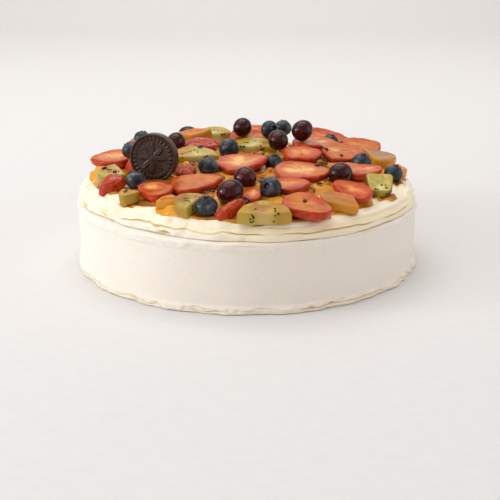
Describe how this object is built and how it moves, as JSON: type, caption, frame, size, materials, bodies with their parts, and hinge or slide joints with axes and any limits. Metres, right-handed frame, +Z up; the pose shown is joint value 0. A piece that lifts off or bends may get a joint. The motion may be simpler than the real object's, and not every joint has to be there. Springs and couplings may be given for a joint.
{
  "type": "pavlova",
  "caption": "Tall round meringue with a layer of whipped cream, covered in sliced strawberries, kiwi, blueberries and grapes, with a moulded chocolate disc standing on edge.",
  "frame": {"origin": "the middle of the footprint's box, on the flat underside of the meringue", "axes": "+Z up; -Y is the front, the side with the slice of kiwi that lies nearest the edge; +X is to the right seen from the front"},
  "size_m": [0.2544, 0.2552, 0.1],
  "materials": {
    "meringue": "baked meringue: a dry, matt, off-white crust, beige where it flakes at the foot",
    "cream": "whipped cream: pale yellow, soft, a faint wet sheen",
    "dark_chocolate": "moulded dark chocolate, satin",
    "blueberry_skin": "blue-black blueberry skin under a grey bloom, matt",
    "grape_skin": "dark red-black grape skin, glossy",
    "strawberry": "cut strawberry: wet red flesh, paler in the middle, red skin with small seeds",
    "green_kiwi": "cut green kiwi: wet translucent flesh with black seeds",
    "golden_kiwi": "cut golden kiwi: wet yellow-orange flesh with black seeds"
  },
  "bodies": {
    "root": {"meringue": "meringue", "cream": "cream", "strawberry_front_small": "strawberry", "blueberry_front": "blueberry_skin", "blueberry_front_crown": "blueberry_skin", "blueberry_left": "blueberry_skin", "blueberry_right": "blueberry_skin", "blueberry_sunk": "blueberry_skin", "blueberry_centre": "blueberry_skin", "blueberry_middle": "blueberry_skin", "grape_front": "grape_skin", "grape_middle": "grape_skin", "grape_right": "grape_skin", "grape_back_left": "grape_skin", "blueberry_small": "blueberry_skin", "chocolate_disc": "dark_chocolate", "strawberry_front_wedge": "strawberry", "kiwi_front": "green_kiwi", "kiwi_front_left": "green_kiwi", "kiwi_left": "green_kiwi", "kiwi_far_left": "green_kiwi", "strawberry_front": "strawberry", "golden_front": "golden_kiwi", "kiwi_right": "green_kiwi", "golden_right": "golden_kiwi", "strawberry_left_heel": "strawberry", "strawberry_left_tip": "strawberry", "strawberry_back_left": "strawberry", "golden_back": "golden_kiwi", "kiwi_back": "green_kiwi", "strawberry_back": "strawberry", "strawberry_back_right": "strawberry", "golden_far_right": "golden_kiwi", "strawberry_far_right": "strawberry", "strawberry_left_middle": "strawberry", "strawberry_front_flat": "strawberry", "strawberry_centre": "strawberry", "strawberry_left_skin": "strawberry", "kiwi_middle_left": "green_kiwi", "kiwi_middle": "green_kiwi", "strawberry_middle_right": "strawberry", "strawberry_right_long": "strawberry", "strawberry_back_middle": "strawberry", "strawberry_cross_cut": "strawberry", "strawberry_right_middle": "strawberry", "strawberry_front_long": "strawberry", "golden_front_left": "golden_kiwi", "strawberry_right_front": "strawberry", "strawberry_skin_strip": "strawberry", "strawberry_back_skin": "strawberry", "strawberry_back_strip": "strawberry", "blueberry_far_left": "blueberry_skin", "blueberry_back_left": "blueberry_skin", "blueberry_back_middle": "blueberry_skin", "blueberry_back": "blueberry_skin", "blueberry_far_back": "blueberry_skin", "grape_centre_back": "grape_skin", "grape_back_right": "grape_skin", "grape_back": "grape_skin", "grape_beside_disc": "grape_skin"}
  },
  "joints": []
}
